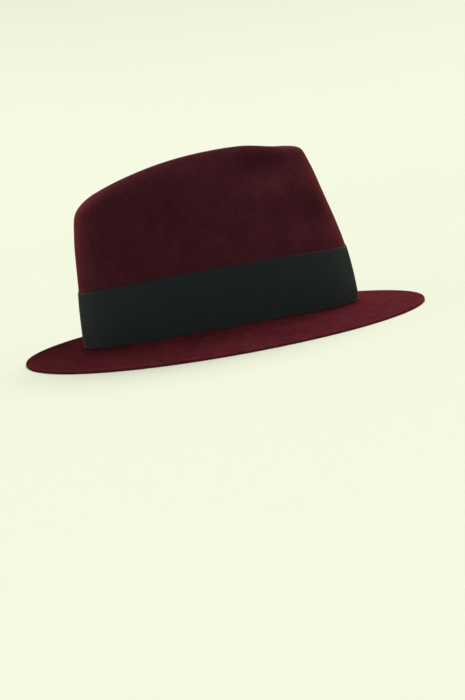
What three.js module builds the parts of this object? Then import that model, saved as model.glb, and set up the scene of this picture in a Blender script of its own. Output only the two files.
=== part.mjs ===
// Fur-felt fedora with a wide ribbon band.
// Millimetres, +Z up, the front of the hat towards +X, the brim resting on Z = 0.
import * as THREE from "three";

// Driving sizes
const FELT_THICKNESS = 2.2;
const EDGE_BULGE = 0.8; // how far the rounded cut edge of the brim stands past its faces
const RIBBON_THICKNESS = 1.0;
const RIBBON_GAP = 0.3; // clear space between ribbon and felt
const COLUMNS = 72; // mesh columns round the head

// Oval sections of the felt's outer face, from the brim's edge up over the crown and down into its dent.
// front, back and side are half sizes from the centre of the brim, and taper narrows a section to the front.
// zFront, zSide and zBack are its heights there. steps is the number of mesh rows up to the next section.
const SECTION_COLUMNS = ["name", "front", "back", "side", "taper", "zFront", "zSide", "zBack", "steps"];
const SECTIONS = [
  ["edge", 150.2, 150.2, 132.4, 0.05, FELT_THICKNESS, FELT_THICKNESS, FELT_THICKNESS, 1],
  ["flat", 146, 146, 128.2, 0.05, FELT_THICKNESS, FELT_THICKNESS, FELT_THICKNESS, 2],
  ["brim", 129.2, 131.2, 111, 0.03, 3.3, 5.4, 2.4, 3],
  ["slope", 108.4, 112.6, 94, 0.02, 4.7, 9, 2.7, 1],
  ["root", 103.8, 108, 89.5, 0.02, 5.5, 10.3, 3.2, 2],
  ["break", 101.6, 105.8, 87, 0.02, 7.8, 12.7, 5.5, 1],
  ["foot", 101.9, 105.8, 86.2, 0.02, 12.7, 17.7, 10.4, 3],
  ["band", 98.4, 103.2, 84, 0.03, 48.7, 53.7, 46.4, 4],
  ["wall", 87.8, 99.4, 78.5, 0.13, 92, 98, 88, 3],
  ["shoulder", 81.2, 94.2, 70.5, 0.25, 114.2, 121.5, 105.5, 3],
  ["crest", 75.8, 76.6, 58, 0.36, 124.9, 132, 116, 3],
  ["lip", 58, 63.6, 46, 0.43, 126.6, 128.4, 113, 3],
  ["dent", 38, 47, 30.5, 0.42, 111, 109, 103.5, 2],
  ["floor", 22, 30, 13, 0.4, 98, 97.5, 97.5, 1],
].map((row) => named(SECTION_COLUMNS, row));

// The front pinch: soft dents of thumb and finger on both sides of the crown, with their half sizes.
// depth presses the felt inward and drop presses it down.
const DENT_COLUMNS = ["x", "z", "wide", "tall", "depth", "drop"];
const DENTS = [
  [53, 128, 14, 10, 2, 1.2],
  [46, 113, 17, 11, 10, 0],
  [68, 78, 12, 14, 5, 0],
].map((row) => named(DENT_COLUMNS, row));
const DENT_FULL_AT = 22; // half width of the crown from which the dents have their full depth

const felt = new THREE.MeshStandardMaterial({ color: 0x53202a, roughness: 0.95, metalness: 0 });
const ribbon = new THREE.MeshStandardMaterial({ color: 0x1e2321, roughness: 0.7, metalness: 0 });

// A table row as an object with the table's column names.
function named(columns, row) {
  return Object.fromEntries(row.map((value, i) => [columns[i], value]));
}

// One point of an oval section, at an angle from the front.
function sectionPoint(section, angle) {
  const c = Math.cos(angle);
  const middle = (section.front - section.back) / 2;
  const half = (section.front + section.back) / 2;
  const tilt = (section.zFront - section.zBack) / 2;
  const saddle = ((section.zFront + section.zBack) / 2 - section.zSide) / 2;
  return new THREE.Vector3(
    middle + half * c,
    section.side * Math.sin(angle) * (1 - section.taper * c),
    section.zSide + saddle + tilt * c + saddle * Math.cos(2 * angle),
  );
}

// Moves a point of the crown by the front pinch.
function pinched(point) {
  const full = Math.min(Math.abs(point.y) / DENT_FULL_AT, 1);
  const moved = point.clone();
  DENTS.forEach((dent) => {
    const spread = ((point.x - dent.x) / dent.wide) ** 2 + ((point.z - dent.z) / dent.tall) ** 2;
    const pressed = Math.exp(-spread) * full;
    moved.y -= Math.sign(point.y) * dent.depth * pressed;
    moved.z -= dent.drop * pressed;
  });
  return moved;
}

// Rings of points on the felt's outer face, and the number of the ring at which each section lies.
function feltRings() {
  const ringOf = {};
  const places = [];
  const spans = SECTIONS.length - 1;
  SECTIONS.forEach((section, i) => {
    ringOf[section.name] = places.length;
    const steps = i === spans ? 1 : section.steps;
    for (let k = 0; k < steps; k++) places.push((i + k / steps) / spans);
  });
  const rings = places.map(() => []);
  for (let column = 0; column < COLUMNS; column++) {
    const angle = (2 * Math.PI * column) / COLUMNS;
    const profile = new THREE.CatmullRomCurve3(SECTIONS.map((section) => sectionPoint(section, angle)));
    places.forEach((place, ring) => rings[ring].push(pinched(profile.getPoint(place))));
  }
  return { rings, ringOf };
}

// Triangles between two neighbouring rings, given the index of each ring's first point.
function strip(lower, upper) {
  const faces = [];
  for (let i = 0; i < COLUMNS; i++) {
    const next = (i + 1) % COLUMNS;
    faces.push(lower + i, lower + next, upper + i);
    faces.push(lower + next, upper + next, upper + i);
  }
  return faces;
}

// Triangles between all the rings of a surface.
function strips(ringCount) {
  const faces = [];
  for (let ring = 0; ring < ringCount - 1; ring++) faces.push(...strip(ring * COLUMNS, (ring + 1) * COLUMNS));
  return faces;
}

// Triangles from a ring to one point inside it.
function fan(ring, centre) {
  const faces = [];
  for (let i = 0; i < COLUMNS; i++) faces.push(ring + i, ring + ((i + 1) % COLUMNS), centre);
  return faces;
}

// The same triangles facing the other way, on points that start at another index.
function turned(faces, start) {
  const out = [];
  for (let i = 0; i < faces.length; i += 3) {
    out.push(faces[i + 2] + start, faces[i + 1] + start, faces[i] + start);
  }
  return out;
}

function geometryOf(points, faces) {
  const geometry = new THREE.BufferGeometry().setFromPoints(points);
  geometry.setIndex(faces);
  geometry.computeVertexNormals();
  return geometry;
}

function surfaceNormals(points, faces) {
  const normals = geometryOf(points, faces).getAttribute("normal");
  return points.map((_, i) => new THREE.Vector3().fromBufferAttribute(normals, i));
}

// Crown and brim: an open shell of even thickness, its brim flat where it rests and rounded at its cut edge.
function feltBody({ rings, ringOf }) {
  const last = rings.length - 1;
  const centre = new THREE.Vector3();
  rings[last].forEach((point) => centre.addScaledVector(point, 1 / COLUMNS));
  const outer = [...rings.flat(), centre];
  const outerFaces = [...strips(rings.length), ...fan(last * COLUMNS, outer.length - 1)];

  const up = new THREE.Vector3(0, 0, 1);
  const flatPoints = (ringOf.flat + 1) * COLUMNS;
  const normals = surfaceNormals(outer, outerFaces);
  const inner = outer.map((point, i) =>
    point.clone().addScaledVector(i < flatPoints ? up : normals[i], -FELT_THICKNESS),
  );

  const edge = rings[0].map((point) => {
    const outward = new THREE.Vector3(point.x, point.y, 0).setLength(EDGE_BULGE);
    return outward.add(new THREE.Vector3(point.x, point.y, FELT_THICKNESS / 2));
  });

  const innerStart = outer.length;
  const edgeStart = outer.length + inner.length;
  const faces = [
    ...outerFaces,
    ...turned(outerFaces, innerStart),
    ...strip(edgeStart, 0),
    ...strip(innerStart, edgeStart),
  ];
  return geometryOf([...outer, ...inner, ...edge], faces);
}

// The ribbon: a band that follows the felt from the break of the brim up, a small gap off it.
function hatBand({ rings, ringOf }) {
  const covered = rings.slice(ringOf.break, ringOf.band + 1);
  const points = covered.flat();
  const faces = strips(covered.length);
  const normals = surfaceNormals(points, faces);
  const offset = (distance) => points.map((point, i) => point.clone().addScaledVector(normals[i], distance));
  const outer = offset(RIBBON_GAP + RIBBON_THICKNESS);
  const inner = offset(RIBBON_GAP);
  const innerStart = outer.length;
  const top = (covered.length - 1) * COLUMNS;
  const closed = [
    ...faces,
    ...turned(faces, innerStart),
    ...strip(top, top + innerStart),
    ...strip(innerStart, 0),
  ];
  return geometryOf([...outer, ...inner], closed);
}

function piece(name, geometry, material) {
  const mesh = new THREE.Mesh(geometry, material);
  mesh.name = name;
  return mesh;
}

const form = feltRings();
const hat = new THREE.Group();
hat.add(piece("felt_body", feltBody(form), felt));
hat.add(piece("hat_band", hatBand(form), ribbon));

export default hat;
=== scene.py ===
"""Looks of a fur-felt fedora with a ribbon band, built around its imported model."""
import math

import bpy
import numpy as np
from mathutils import Matrix, Vector


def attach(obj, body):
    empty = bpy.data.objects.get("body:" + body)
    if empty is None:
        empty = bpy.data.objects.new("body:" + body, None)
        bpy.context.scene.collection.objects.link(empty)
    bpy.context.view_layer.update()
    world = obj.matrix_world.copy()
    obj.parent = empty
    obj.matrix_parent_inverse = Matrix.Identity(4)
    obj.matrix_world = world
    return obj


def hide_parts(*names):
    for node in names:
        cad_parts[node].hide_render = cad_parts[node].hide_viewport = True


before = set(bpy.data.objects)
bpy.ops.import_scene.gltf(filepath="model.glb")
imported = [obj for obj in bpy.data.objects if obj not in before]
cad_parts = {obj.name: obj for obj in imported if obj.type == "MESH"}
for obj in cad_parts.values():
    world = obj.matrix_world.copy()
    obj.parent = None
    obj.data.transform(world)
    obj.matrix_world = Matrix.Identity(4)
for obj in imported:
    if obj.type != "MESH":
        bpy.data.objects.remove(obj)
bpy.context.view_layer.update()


def named(columns, rows):
    """Table rows as dictionaries with the table's column names."""
    return [dict(zip(columns, row)) for row in rows]


# Sizes of the hat are in millimetres. Its front is towards +X and the wearer's left towards +Y.
MM = 0.001
FELT_THICKNESS = 2.2
EDGE_BULGE = 0.8  # how far the rounded cut edge of the brim stands past its faces
FELT_COLUMNS = 320  # mesh columns round the head
EDGE_ROWS = 7  # mesh rows round the cut edge
UNDER_STEP = 2  # the felt's inside has every second row of its outside
UP = (0, 0, 1)

# Oval sections of the felt's outer face, from the brim's edge up over the crown and down into its dent.
# front, back and side are half sizes from the centre of the brim, and taper narrows a section to the front.
# The z columns are its heights there. steps is the number of mesh rows up to the next section.
SECTION_COLUMNS = ("name", "front", "back", "side", "taper", "z_front", "z_side", "z_back", "steps")
SECTIONS = named(SECTION_COLUMNS, (
    ("edge", 150.2, 150.2, 132.4, 0.05, FELT_THICKNESS, FELT_THICKNESS, FELT_THICKNESS, 4),
    ("flat", 146, 146, 128.2, 0.05, FELT_THICKNESS, FELT_THICKNESS, FELT_THICKNESS, 10),
    ("brim", 129.2, 131.2, 111, 0.03, 3.3, 5.4, 2.4, 12),
    ("slope", 108.4, 112.6, 94, 0.02, 4.7, 9.0, 2.7, 4),
    ("root", 103.8, 108, 89.5, 0.02, 5.5, 10.3, 3.2, 6),
    ("break", 101.6, 105.8, 87, 0.02, 7.8, 12.7, 5.5, 4),
    ("foot", 101.9, 105.8, 86.2, 0.02, 12.7, 17.7, 10.4, 12),
    ("band", 98.4, 103.2, 84, 0.03, 48.7, 53.7, 46.4, 20),
    ("wall", 87.8, 99.4, 78.5, 0.13, 92, 98, 88, 14),
    ("shoulder", 81.2, 94.2, 70.5, 0.25, 114.2, 121.5, 105.5, 12),
    ("crest", 75.8, 76.6, 58, 0.36, 124.9, 132, 116, 12),
    ("lip", 58, 63.6, 46, 0.43, 126.6, 128.4, 113, 12),
    ("dent", 38, 47, 30.5, 0.42, 111, 109, 103.5, 10),
    ("floor", 22, 30, 13, 0.4, 98, 97.5, 97.5, 0),
))

# The front pinch: soft dents of thumb and finger on both sides of the crown, with their half sizes.
# depth presses the felt inward and drop presses it down.
DENTS = named(("x", "z", "wide", "tall", "depth", "drop"), (
    (53, 128, 14, 10, 2, 1.2),
    (46, 113, 17, 11, 10, 0),
    (68, 78, 12, 14, 5, 0),
))
DENT_FULL_AT = 22  # half width of the crown from which the dents have their full depth

# Slight unevenness of hand-blocked felt: waves across the crown.
# x, y and z say how fast a wave turns along each axis, in radians for each millimetre.
WAVES = named(("x", "y", "z", "phase", "height"), (
    (0.062, 0.025, 0.048, 0.4, 0.16),
    (-0.041, 0.058, 0.071, 2.1, 0.14),
    (0.093, -0.037, 0.022, 4.0, 0.1),
    (0.028, 0.081, -0.064, 5.3, 0.1),
))
WAVE_FOOT = 8  # height below which the felt is even
WAVE_FULL = 40  # height from which the waves have their full height

# Shade of the felt, from 0 where it is darkest to 1 where it is lightest.
# The marks, with their half sizes, are painted on both sides of the crown: painted shade in and under the
# pinch's dents, a painted highlight on the nose's top, a painted sheen along the crown's back edge and a
# broad darker patch over its back half.
NAP_MIDDLE = 0.6  # plain felt
PAINTED_SHADING_MARKS = named(("x", "z", "wide", "tall", "shade"), (
    (-40, 105, 45, 25, -0.1),
    (-96, 82, 14, 45, 0.32),
    (40, 124, 17, 8, -0.25),
    (67, 127.5, 10, 4, 0.75),
    (66, 119, 12, 4, -0.2),
    (80, 84, 10, 12, -0.3),
    (60, 71, 8, 12, 0.08),
))
MARK_FULL_AT = 0.25  # sideways part of the felt's normal from which a mark has its full strength
# Painted light at the brim's edge: the cut edge is paler, partly the cut felt's own paleness and partly
# painted light from below, and the corner above it has a painted highlight.
CUT_EDGE_PALE_AND_LIT = 0.2  # the brim's cut edge is paler
PAINTED_CREST_HIGHLIGHT = 0.08  # and so is the corner above it
CREST_ROWS = 3  # mesh rows that make up this corner

# Painted shade: the brim's back is darker, and darker still on the left of it, as in the crown's shadow.
PAINTED_BACK_SHADE = -0.25
PAINTED_BACK_LEFT_SHADE = -0.22
BRIM_TOP = 12  # height above which the felt no longer counts as brim
BRIM_FADE = 4  # height over which the brim's shade comes in below that
BACK_START = -30  # where the darker back begins, and the length over which it deepens
BACK_FADE = 110
LEFT_START = -50  # where the darker left begins, and the width over which it deepens
LEFT_FADE = 90

# The ribbon: upright ribs between two plain woven edges, and a plain lap of its ends on the left side.
# Rows of the mesh are shares of the ribbon's height.
RIBBON_THICKNESS = 0.5
RIBBON_GAP = 0.4  # clear space between felt and ribbon at the ribbon's foot
RIBBON_LEAN = 0.28  # how much closer the ribbon lies to the felt at its top
LEAN_POWER = 3  # the lean comes in near the top
RIBBON_ROWS = (0, 0.01, 0.022, 0.034, 0.14, 0.3, 0.5, 0.7, 0.86, 0.966, 0.978, 0.99, 1)
RIBBON_INNER_ROWS = (1, 0.86, 0.7, 0.5, 0.3, 0.14, 0.034, 0)
RIBBON_ROUNDING = 0.15  # how much thinner the ribbon is along its two edges
WOVEN_EDGE = 1.2
RIBS = 664
RIB_COLUMNS = 5  # mesh columns of one rib
RIB_DEPTH = 0.12
LAP_START = 1.5  # angle from the front at which the upper end lies fully on the lower one
LAP_ANGLE = 0.135
LAP_RISE = 0.35  # share of the lap's length over which the upper end climbs

# Felt colours where it is darkest and lightest. Crown and brim are one felt in two colours, as lit and
# shaded copies: the brim's are redder for the warm key light on it, the crown's greyer and bluer for the
# cool shade on it. The crown's nap stands up more than the brim's.
CROWN_DARK = (0.018, 0.0040, 0.0065)
CROWN_LIGHT = (0.062, 0.0137, 0.0224)
CROWN_SHEEN = 0.15
BRIM_DARK = (0.006, 0.00094, 0.00145)
BRIM_LIGHT = (0.1035, 0.0162, 0.025)
BRIM_SHEEN = 0.03
FELT_SHEEN_TINT = (1, 0.16, 0.17)
FELT_SHEEN_ROUGHNESS = 0.34
FELT_ROUGHNESS = 0.9

# Mottling of the nap by noises, from broad blotches over strokes and flecks to single hairs.
# Rates below 1 draw a noise out along an axis. share is how much of the nap's shade it swings.
MOTTLES = named(("scale", "detail", "rates", "share"), (
    (16, 2, (1, 1, 1), 0.5),
    (90, 3, (1, 1, 0.5), 0.74),
    (230, 3, (1, 1, 1), 0.88),
    (1500, 2, (1, 1, 1), 0.88),
))
HAIR_BUMP = 0.4  # the hairs also stand up a little
HAIR_HEIGHT = 0.3

RIBBON_DARK = (0.0109, 0.0146, 0.0172)
RIBBON_LIGHT = (0.0145, 0.0188, 0.0221)
THREAD_SCALE = 300
THREAD_DETAIL = 2
THREAD_RATES = (1, 1, 0.2)
RIBBON_ROUGHNESS = 0.6
RIBBON_SPECULAR = 0.05
RIBBON_SHEEN = 0.1
RIBBON_SHEEN_ROUGHNESS = 0.2
RIBBON_SHEEN_TINT = (0.9, 1, 0.72)

# The studio, in metres: a flat floor that bends up into a round wall, and a paler colour far from the hat.
FLOOR_COLOUR = (0.525, 0.53, 0.495)
WALL_COLOUR = (0.66, 0.667, 0.62)
PALER_FROM = 1.5
PALEST_AT = 6
FLOOR_ROUGHNESS = 0.9
HUB_RADIUS = 0.02
FLOOR_RADIUS = 1.3
FLOOR_ROWS = 12
BEND_RADIUS = 10
BEND_ANGLE = math.radians(60)
BEND_ROWS = 16
STUDIO_COLUMNS = 96

# The key light comes from above and a little behind the hat, as the camera sees it.
KEY_FROM = (0.09, 0.4, 0.91)
KEY_SOFTNESS = math.radians(55)
KEY_STRENGTH = 5.0
KEY_COLOUR = (1, 1.02, 0.87)
WORLD_COLOUR = (1, 1, 1)
WORLD_STRENGTH = 0.15

# Camera at the photograph's angle to the hat, in its 465 by 700 frame. Its place is in metres.
PHOTO_HEIGHT_PX = 700
FOCAL_PX = 1188.2
CAMERA_DISTANCE = 0.9
CAMERA_ELEVATION = math.radians(8.67)
CAMERA_ROLL = math.radians(-9.45)
CAMERA_AIM = Vector((2.8, 0, -16.4)) * MM
SENSOR = 36


def smooth_step(value):
    """A smooth rise from 0 to 1 as a value goes from 0 to 1."""
    t = np.clip(value, 0, 1)
    return t * t * (3 - 2 * t)


def angles_round(columns):
    """Even angles round the head, from the front."""
    return np.linspace(0, 2 * math.pi, columns, endpoint=False)


def section_ring(section, angles):
    """Points of one oval section at angles from the front."""
    c = np.cos(angles)
    middle = (section["front"] - section["back"]) / 2
    half = (section["front"] + section["back"]) / 2
    tilt = (section["z_front"] - section["z_back"]) / 2
    saddle = ((section["z_front"] + section["z_back"]) / 2 - section["z_side"]) / 2
    x = middle + half * c
    y = section["side"] * np.sin(angles) * (1 - section["taper"] * c)
    z = section["z_side"] + saddle + tilt * c + saddle * np.cos(2 * angles)
    return np.stack([x, y, z], -1)


def spot(place, x, z):
    """How strongly a soft spot on the crown acts at points: 1 in its middle, less over its half sizes."""
    return np.exp(-(((x - place["x"]) / place["wide"]) ** 2 + ((z - place["z"]) / place["tall"]) ** 2))


def pinched(points):
    """Points of the crown moved inward and down by the front pinch."""
    x, y, z = np.moveaxis(points, -1, 0)
    full = np.minimum(np.abs(y) / DENT_FULL_AT, 1)
    moved = points.copy()
    for dent in DENTS:
        pressed = spot(dent, x, z) * full
        moved[..., 1] -= np.sign(y) * dent["depth"] * pressed
        moved[..., 2] -= dent["drop"] * pressed
    return moved


def ring_normals(rings):
    """Outward unit normals of a surface made of closed rings."""
    around = np.roll(rings, -1, axis=1) - np.roll(rings, 1, axis=1)
    along = np.gradient(rings, axis=0)
    normal = np.cross(around, along)
    return normal / np.linalg.norm(normal, axis=2, keepdims=True)


def uneven(rings):
    """Rings moved a little along their normals by the felt's waves."""
    shift = 0
    for wave in WAVES:
        turn = rings @ np.array([wave["x"], wave["y"], wave["z"]])
        shift = shift + wave["height"] * np.sin(turn + wave["phase"])
    share = smooth_step((rings[..., 2] - WAVE_FOOT) / (WAVE_FULL - WAVE_FOOT))
    return rings + ring_normals(rings) * (shift * share)[..., None]


def loft(angles):
    """Rings of the felt's outer face, on centripetal curves through the sections.

    The second value gives the number of the ring at each section but the last.
    """
    rings = np.stack([section_ring(section, angles) for section in SECTIONS])
    first = 2 * rings[0] - rings[1]
    last = 2 * rings[-1] - rings[-2]
    knots = np.concatenate([first[None], rings, last[None]])
    gaps = np.sqrt(np.linalg.norm(np.diff(knots, axis=0), axis=2))[..., None]
    made = []
    ring_of = {}
    for i, section in enumerate(SECTIONS[:-1]):
        ring_of[section["name"]] = len(made)
        p0, p1, p2, p3 = knots[i:i + 4]
        g0, g1, g2 = gaps[i:i + 3]
        start = ((p1 - p0) / g0 - (p2 - p0) / (g0 + g1) + (p2 - p1) / g1) * g1
        end = ((p2 - p1) / g1 - (p3 - p1) / (g1 + g2) + (p3 - p2) / g2) * g1
        square = 3 * (p2 - p1) - 2 * start - end
        cube = 2 * (p1 - p2) + start + end
        for k in range(section["steps"]):
            t = k / section["steps"]
            made.append(p1 + start * t + square * t ** 2 + cube * t ** 3)
    made.append(rings[-1])
    return uneven(pinched(np.stack(made))), ring_of


def grid_faces(ring_count, column_count):
    """Quads between neighbouring closed rings, facing out."""
    ring, column = np.meshgrid(np.arange(ring_count - 1), np.arange(column_count), indexing="ij")
    following = (column + 1) % column_count
    low = ring * column_count
    high = low + column_count
    return np.stack([low + column, low + following, high + following, high + column], -1).reshape(-1, 4)


def make_mesh(name, points, faces, material):
    """A smooth-shaded object from points in millimetres."""
    mesh = bpy.data.meshes.new(name)
    mesh.from_pydata((points * MM).tolist(), [], faces)
    mesh.validate()
    mesh.polygons.foreach_set("use_smooth", [True] * len(mesh.polygons))
    mesh.materials.append(material)
    made = bpy.data.objects.new(name, mesh)
    bpy.context.collection.objects.link(made)
    return made


def normals_of(piece):
    """Normals at the points of a piece's mesh."""
    flat = np.empty(len(piece.data.vertices) * 3, np.float32)
    piece.data.vertex_normals.foreach_get("vector", flat)
    return flat.reshape(-1, 3)


def painted_shading_at(points, normals):
    """How light the felt is at points, apart from the brim's edge: plain felt with painted shade and
    painted highlights on the crown, and painted shade over the brim's back.
    """
    x, y, z = points.T
    outside = smooth_step(np.sign(y) * normals[:, 1] / MARK_FULL_AT)
    shade = np.full(len(points), NAP_MIDDLE)
    for mark in PAINTED_SHADING_MARKS:
        shade += mark["shade"] * spot(mark, x, z) * outside
    # Painted shade over the brim's back, darker still on its left.
    on_brim = smooth_step((BRIM_TOP - z) / BRIM_FADE)
    backward = smooth_step((BACK_START - x) / BACK_FADE)
    leftward = smooth_step((y - LEFT_START) / LEFT_FADE)
    return shade + (PAINTED_BACK_SHADE + PAINTED_BACK_LEFT_SHADE * leftward) * on_brim * backward


def cut_edge(ring):
    """Rings round the brim's cut edge, from its underside up to the ring that ends its top."""
    outward = ring * (1, 1, 0)
    outward /= np.linalg.norm(outward, axis=1, keepdims=True)
    made = []
    for turn in np.linspace(-math.pi / 2, math.pi / 2, EDGE_ROWS + 2)[1:-1]:
        bulged = ring + outward * EDGE_BULGE * math.cos(turn)
        bulged[:, 2] = FELT_THICKNESS / 2 * (1 + math.sin(turn))
        made.append(bulged)
    return np.stack(made)


def felt_body(crown, brim):
    """Crown and brim: a felt wall of even thickness with a rounded cut edge, and a material for each."""
    outer, ring_of = loft(angles_round(FELT_COLUMNS))
    normals = ring_normals(outer)
    normals[:ring_of["flat"] + 1] = UP
    inner = (outer - FELT_THICKNESS * normals)[::UNDER_STEP]
    inner[..., 2] = np.maximum(inner[..., 2], 0)
    rings = np.concatenate([inner[::-1], cut_edge(outer[0]), outer])
    centres = np.stack([rings[0].mean(0), rings[-1].mean(0)])
    points = np.concatenate([rings.reshape(-1, 3), centres])

    faces = grid_faces(len(rings), FELT_COLUMNS).tolist()
    on_rings = len(rings) * FELT_COLUMNS
    top = on_rings - FELT_COLUMNS
    for i in range(FELT_COLUMNS):
        after = (i + 1) % FELT_COLUMNS
        faces.append([after, i, on_rings])
        faces.append([top + i, top + after, on_rings + 1])
    made = make_mesh("felt_crown_and_brim", points, faces, crown)

    edge = len(inner)
    crest = edge + EDGE_ROWS
    made.data.materials.append(brim)
    brim_from = edge - 1 - ring_of["break"] // UNDER_STEP
    brim_to = crest + ring_of["break"]
    for face in made.data.polygons[brim_from * FELT_COLUMNS:brim_to * FELT_COLUMNS]:
        face.material_index = 1

    # Painted shade and painted highlights of the felt, kept in a point attribute.
    shade = painted_shading_at(points, normals_of(made))
    of_ring = shade[:on_rings].reshape(len(rings), FELT_COLUMNS)
    of_ring[edge:crest] += CUT_EDGE_PALE_AND_LIT
    of_ring[crest:crest + CREST_ROWS] += PAINTED_CREST_HIGHLIGHT
    nap_and_painted_shade = made.data.attributes.new("nap_and_painted_shade", "FLOAT", "POINT")
    nap_and_painted_shade.data.foreach_set("value", shade.astype(np.float32))
    return made


def ribbon_course(angles):
    """The felt's rings and normals under the ribbon, and how far up the ribbon each ring lies."""
    rings, ring_of = loft(angles)
    span = slice(ring_of["break"], ring_of["band"] + 1)
    climbs = np.linalg.norm(np.diff(rings[span], axis=0), axis=2).mean(1)
    return rings[span], ring_normals(rings)[span], np.concatenate([[0], np.cumsum(climbs)])


def ribbon_row(course, share, thickness):
    """Points at a share of the ribbon's height, as far off the felt as the gap and a thickness make it."""
    rings, normals, climbed = course
    place = np.interp(share * climbed[-1], climbed, np.arange(len(climbed)))
    low = min(int(place), len(climbed) - 2)
    part = place - low
    skin = rings[low] * (1 - part) + rings[low + 1] * part
    normal = normals[low] * (1 - part) + normals[low + 1] * part
    out = RIBBON_GAP - RIBBON_LEAN * share ** LEAN_POWER + thickness
    return skin + normal * np.reshape(out, (-1, 1))


def ribbon_band(material):
    """The ribbon round the foot of the crown, a closed band with upright ribs, and its flat size."""
    columns = RIBS * RIB_COLUMNS
    angles = angles_round(columns)
    course = ribbon_course(angles)
    height = course[-1][-1]
    groove = 0.5 - 0.5 * np.cos(RIBS * angles)
    along_lap = (angles - LAP_START) / LAP_ANGLE
    lap = np.where(along_lap < 1, smooth_step((along_lap + LAP_RISE) / LAP_RISE), 0) * RIBBON_THICKNESS

    outer = []
    for share in RIBBON_ROWS:
        from_edge = min(share, 1 - share) * height
        ribbed = float(from_edge > WOVEN_EDGE)
        rounding = RIBBON_ROUNDING if from_edge == 0 else 0
        thickness = RIBBON_THICKNESS + lap - RIB_DEPTH * ribbed * groove - rounding
        outer.append(ribbon_row(course, share, thickness))
    inner = [ribbon_row(course, share, 0) for share in RIBBON_INNER_ROWS]
    rows = np.stack(outer + inner)
    points = rows.reshape(-1, 3)
    faces = grid_faces(len(rows) + 1, columns) % len(points)
    band = make_mesh("ribbon_band", points, faces.tolist(), material)

    middle = outer[len(outer) // 2]
    round_length = np.linalg.norm(np.roll(middle, -1, axis=0) - middle, axis=1).sum()
    lap_length = LAP_ANGLE / (2 * math.pi) * round_length
    return band, height, round_length + lap_length


def new_material(name):
    """A material with its node tree and its shader."""
    material = bpy.data.materials.new(name)
    material.use_nodes = True
    return material, material.node_tree, material.node_tree.nodes["Principled BSDF"]


def noise_on(tree, scale, detail, rates):
    """A noise texture in the object's own space, drawn out along an axis by a rate below 1."""
    place = tree.nodes.new("ShaderNodeTexCoord")
    mapping = tree.nodes.new("ShaderNodeMapping")
    mapping.inputs["Scale"].default_value = rates
    noise = tree.nodes.new("ShaderNodeTexNoise")
    noise.inputs["Scale"].default_value = scale
    noise.inputs["Detail"].default_value = detail
    tree.links.new(place.outputs["Object"], mapping.inputs["Vector"])
    tree.links.new(mapping.outputs["Vector"], noise.inputs["Vector"])
    return noise.outputs["Fac"]


def varied(tree, value, noise, share):
    """A value that a noise swings up and down by a share of it."""
    gain = tree.nodes.new("ShaderNodeMath")
    gain.operation = "MULTIPLY_ADD"
    tree.links.new(noise, gain.inputs[0])
    gain.inputs[1].default_value = share
    gain.inputs[2].default_value = 1 - share / 2
    product = tree.nodes.new("ShaderNodeMath")
    product.operation = "MULTIPLY"
    tree.links.new(value, product.inputs[0])
    tree.links.new(gain.outputs[0], product.inputs[1])
    return product.outputs[0]


def colour_between(tree, value, low, high, socket):
    """Feeds a colour socket from low to high as a value goes from 0 to 1, and on past high above 1."""
    mix = tree.nodes.new("ShaderNodeMix")
    mix.data_type = "RGBA"
    mix.clamp_factor = False
    tree.links.new(value, mix.inputs["Factor"])
    mix.inputs["A"].default_value = (*low, 1)
    mix.inputs["B"].default_value = (*high, 1)
    tree.links.new(mix.outputs["Result"], socket)


def felt_material(name, dark, light, sheen):
    """Burgundy fur felt: a short, mottled nap that is paler where it is seen edge on."""
    material, tree, shader = new_material(name)
    # The attribute holds the painted shade and highlights, which the noises then mottle.
    shading_attribute = tree.nodes.new("ShaderNodeAttribute")
    shading_attribute.attribute_name = "nap_and_painted_shade"
    nap_and_painted_shade = shading_attribute.outputs["Fac"]
    for mottle in MOTTLES:
        noise = noise_on(tree, mottle["scale"], mottle["detail"], mottle["rates"])
        nap_and_painted_shade = varied(tree, nap_and_painted_shade, noise, mottle["share"])
    colour_between(tree, nap_and_painted_shade, dark, light, shader.inputs["Base Color"])
    shader.inputs["Roughness"].default_value = FELT_ROUGHNESS
    shader.inputs["Specular IOR Level"].default_value = 0
    shader.inputs["Sheen Weight"].default_value = sheen
    shader.inputs["Sheen Roughness"].default_value = FELT_SHEEN_ROUGHNESS
    shader.inputs["Sheen Tint"].default_value = (*FELT_SHEEN_TINT, 1)
    # The last noise, that of the hairs, is also the bump.
    bump = tree.nodes.new("ShaderNodeBump")
    bump.inputs["Strength"].default_value = HAIR_BUMP
    bump.inputs["Distance"].default_value = HAIR_HEIGHT * MM
    tree.links.new(noise, bump.inputs["Height"])
    tree.links.new(bump.outputs["Normal"], shader.inputs["Normal"])
    return material


def ribbon_material():
    """Dark green-black grosgrain with a faint lustre."""
    material, tree, shader = new_material("dark_grosgrain")
    threads = noise_on(tree, THREAD_SCALE, THREAD_DETAIL, THREAD_RATES)
    colour_between(tree, threads, RIBBON_DARK, RIBBON_LIGHT, shader.inputs["Base Color"])
    shader.inputs["Roughness"].default_value = RIBBON_ROUGHNESS
    shader.inputs["Specular IOR Level"].default_value = RIBBON_SPECULAR
    shader.inputs["Sheen Weight"].default_value = RIBBON_SHEEN
    shader.inputs["Sheen Roughness"].default_value = RIBBON_SHEEN_ROUGHNESS
    shader.inputs["Sheen Tint"].default_value = (*RIBBON_SHEEN_TINT, 1)
    return material


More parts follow.
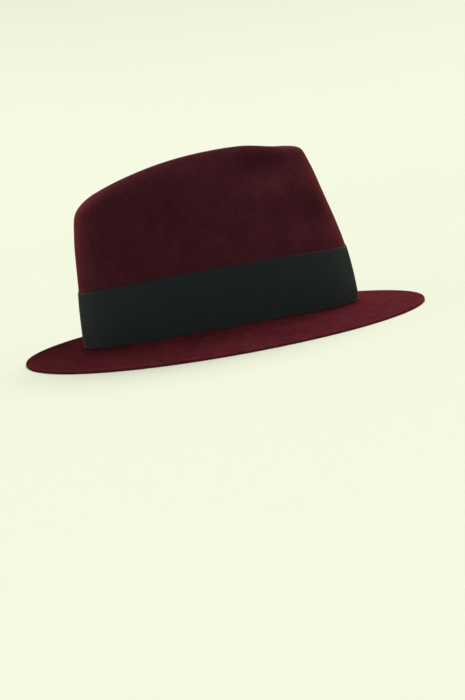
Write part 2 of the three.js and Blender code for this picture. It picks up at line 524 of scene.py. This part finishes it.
def floor_material():
    """A pale floor that gets paler towards its far wall."""
    material, tree, shader = new_material("pale_floor")
    place = tree.nodes.new("ShaderNodeTexCoord")
    distance = tree.nodes.new("ShaderNodeVectorMath")
    distance.operation = "LENGTH"
    far = tree.nodes.new("ShaderNodeMapRange")
    far.inputs["From Min"].default_value = PALER_FROM
    far.inputs["From Max"].default_value = PALEST_AT
    tree.links.new(place.outputs["Object"], distance.inputs[0])
    tree.links.new(distance.outputs["Value"], far.inputs["Value"])
    colour_between(tree, far.outputs["Result"], FLOOR_COLOUR, WALL_COLOUR, shader.inputs["Base Color"])
    shader.inputs["Roughness"].default_value = FLOOR_ROUGHNESS
    shader.inputs["Specular IOR Level"].default_value = 0
    return material


def studio_bowl(material):
    """A pale floor that curves up into a round wall, so that no view meets an edge."""
    profile = [(HUB_RADIUS, 0.0)]
    profile += [(FLOOR_RADIUS * k / FLOOR_ROWS, 0.0) for k in range(1, FLOOR_ROWS + 1)]
    for k in range(1, BEND_ROWS + 1):
        turn = BEND_ANGLE * k / BEND_ROWS
        profile.append((FLOOR_RADIUS + BEND_RADIUS * math.sin(turn), BEND_RADIUS * (1 - math.cos(turn))))
    angles = angles_round(STUDIO_COLUMNS)
    rings = np.array([[(r * math.cos(a), r * math.sin(a), z) for a in angles] for r, z in profile])
    points = np.concatenate([rings.reshape(-1, 3), [[0, 0, 0]]]) / MM
    faces = grid_faces(len(profile), STUDIO_COLUMNS)[:, ::-1].tolist()
    faces += [[i, (i + 1) % STUDIO_COLUMNS, len(points) - 1] for i in range(STUDIO_COLUMNS)]
    return make_mesh("studio_floor", points, faces, material)


def key_light():
    """One broad, soft light."""
    data = bpy.data.lights.new("key", "SUN")
    data.energy = KEY_STRENGTH
    data.angle = KEY_SOFTNESS
    data.color = KEY_COLOUR
    lamp = bpy.data.objects.new("key", data)
    lamp.rotation_mode = "QUATERNION"
    lamp.rotation_quaternion = Vector(KEY_FROM).to_track_quat("Z", "Y")
    bpy.context.collection.objects.link(lamp)


def studio_world():
    """A faint even light from all round, and plain display colours."""
    world = bpy.data.worlds.new("studio")
    world.use_nodes = True
    background = world.node_tree.nodes["Background"]
    background.inputs["Color"].default_value = (*WORLD_COLOUR, 1)
    background.inputs["Strength"].default_value = WORLD_STRENGTH
    bpy.context.scene.world = world
    bpy.context.scene.view_settings.view_transform = "Standard"


def make_camera():
    """The photograph's camera, beside the hat on its right and turned by the photograph's tilt."""
    data = bpy.data.cameras.new("photo_camera")
    data.sensor_fit = "AUTO"
    data.sensor_width = SENSOR
    data.lens = FOCAL_PX * SENSOR / PHOTO_HEIGHT_PX
    camera = bpy.data.objects.new("photo_camera", data)
    back = Vector((0, -math.cos(CAMERA_ELEVATION), math.sin(CAMERA_ELEVATION)))
    right = Vector((1, 0, 0))
    up = back.cross(right)
    rolled_right = math.cos(CAMERA_ROLL) * right + math.sin(CAMERA_ROLL) * up
    rolled_up = math.cos(CAMERA_ROLL) * up - math.sin(CAMERA_ROLL) * right
    turn = Matrix((rolled_right, rolled_up, back)).transposed()
    camera.matrix_world = Matrix.Translation(CAMERA_AIM + CAMERA_DISTANCE * back) @ turn.to_4x4()
    bpy.context.collection.objects.link(camera)
    bpy.context.scene.camera = camera


make_camera()

# Crown and brim get one felt in two colours, standing in for the light that falls on each.
felt = felt_body(
    felt_material("crown_felt", CROWN_DARK, CROWN_LIGHT, CROWN_SHEEN),
    felt_material("brim_felt", BRIM_DARK, BRIM_LIGHT, BRIM_SHEEN),
)
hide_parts("felt_body")
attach(felt, "root")

ribbon, ribbon_width, ribbon_length = ribbon_band(ribbon_material())
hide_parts("hat_band")
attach(ribbon, "root")

studio_bowl(floor_material())
key_light()
studio_world()
